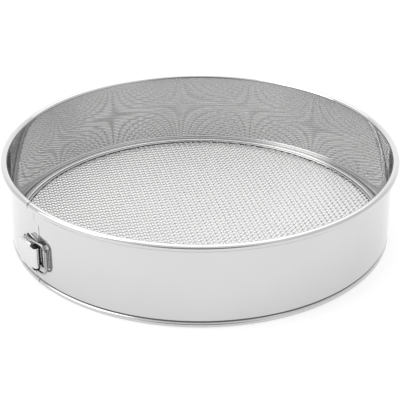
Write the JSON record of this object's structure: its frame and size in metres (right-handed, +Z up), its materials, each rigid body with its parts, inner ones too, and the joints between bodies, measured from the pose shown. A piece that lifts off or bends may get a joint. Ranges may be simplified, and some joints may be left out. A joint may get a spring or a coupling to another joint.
{
  "type": "soil sieve",
  "caption": "Round stainless drum sieve: rolled-edge split band closed by an over-centre wire latch, around a lift-out woven wire screen.",
  "frame": {"origin": "drum axis at the plane the foot roll rests on", "axes": "+Z up out of the drum's mouth, +Y to the back; the latch is at the front left, 217.1 degrees anticlockwise from +X"},
  "size_m": [0.309, 0.309, 0.0684],
  "materials": {
    "polished_sheet": "mirror polished stainless sheet",
    "core_wire": "drawn stainless wire",
    "latch_steel": "polished stainless pressing",
    "strip_steel": "dull rolled sheet",
    "bracket_black": "blackened bracket, pin and rivets",
    "bail_wire": "bright drawn stainless wire",
    "ring_steel": "polished stainless ring",
    "cloth_wire": "bright woven stainless wire"
  },
  "bodies": {
    "drum": {"drum_band": "polished_sheet", "rim_wire": "core_wire", "foot_wire": "core_wire", "seam_strip": "strip_steel", "latch_base": "bracket_black", "base_rivets": "bracket_black", "lever_pin": "bracket_black", "keeper": "latch_steel"},
    "lever": {"latch_lever": "latch_steel"},
    "bail": {"bail": "bail_wire"},
    "screen": {"screen_ring": "ring_steel", "warp_wires": "cloth_wire", "weft_wires": "cloth_wire"}
  },
  "joints": [
    {"name": "lever_hinge", "type": "hinge", "parent": "drum", "child": "lever", "pos_m": [-0.11877, -0.0981, 0.0265], "axis": [0, 0, 1], "range_deg": [0, 120]},
    {"name": "bail_hinge", "type": "hinge", "parent": "lever", "child": "bail", "pos_m": [-0.12273, -0.09219, 0.0265], "axis": [0, 0, 1], "range_deg": [-120, 0]},
    {"name": "screen_lift", "type": "slide", "parent": "drum", "child": "screen", "axis": [0, 0, 1], "range_m": [0, 0.085]}
  ],
  "couplings": [
    {"joint": "bail_hinge", "follows": "lever_hinge", "ratio": -1}
  ]
}
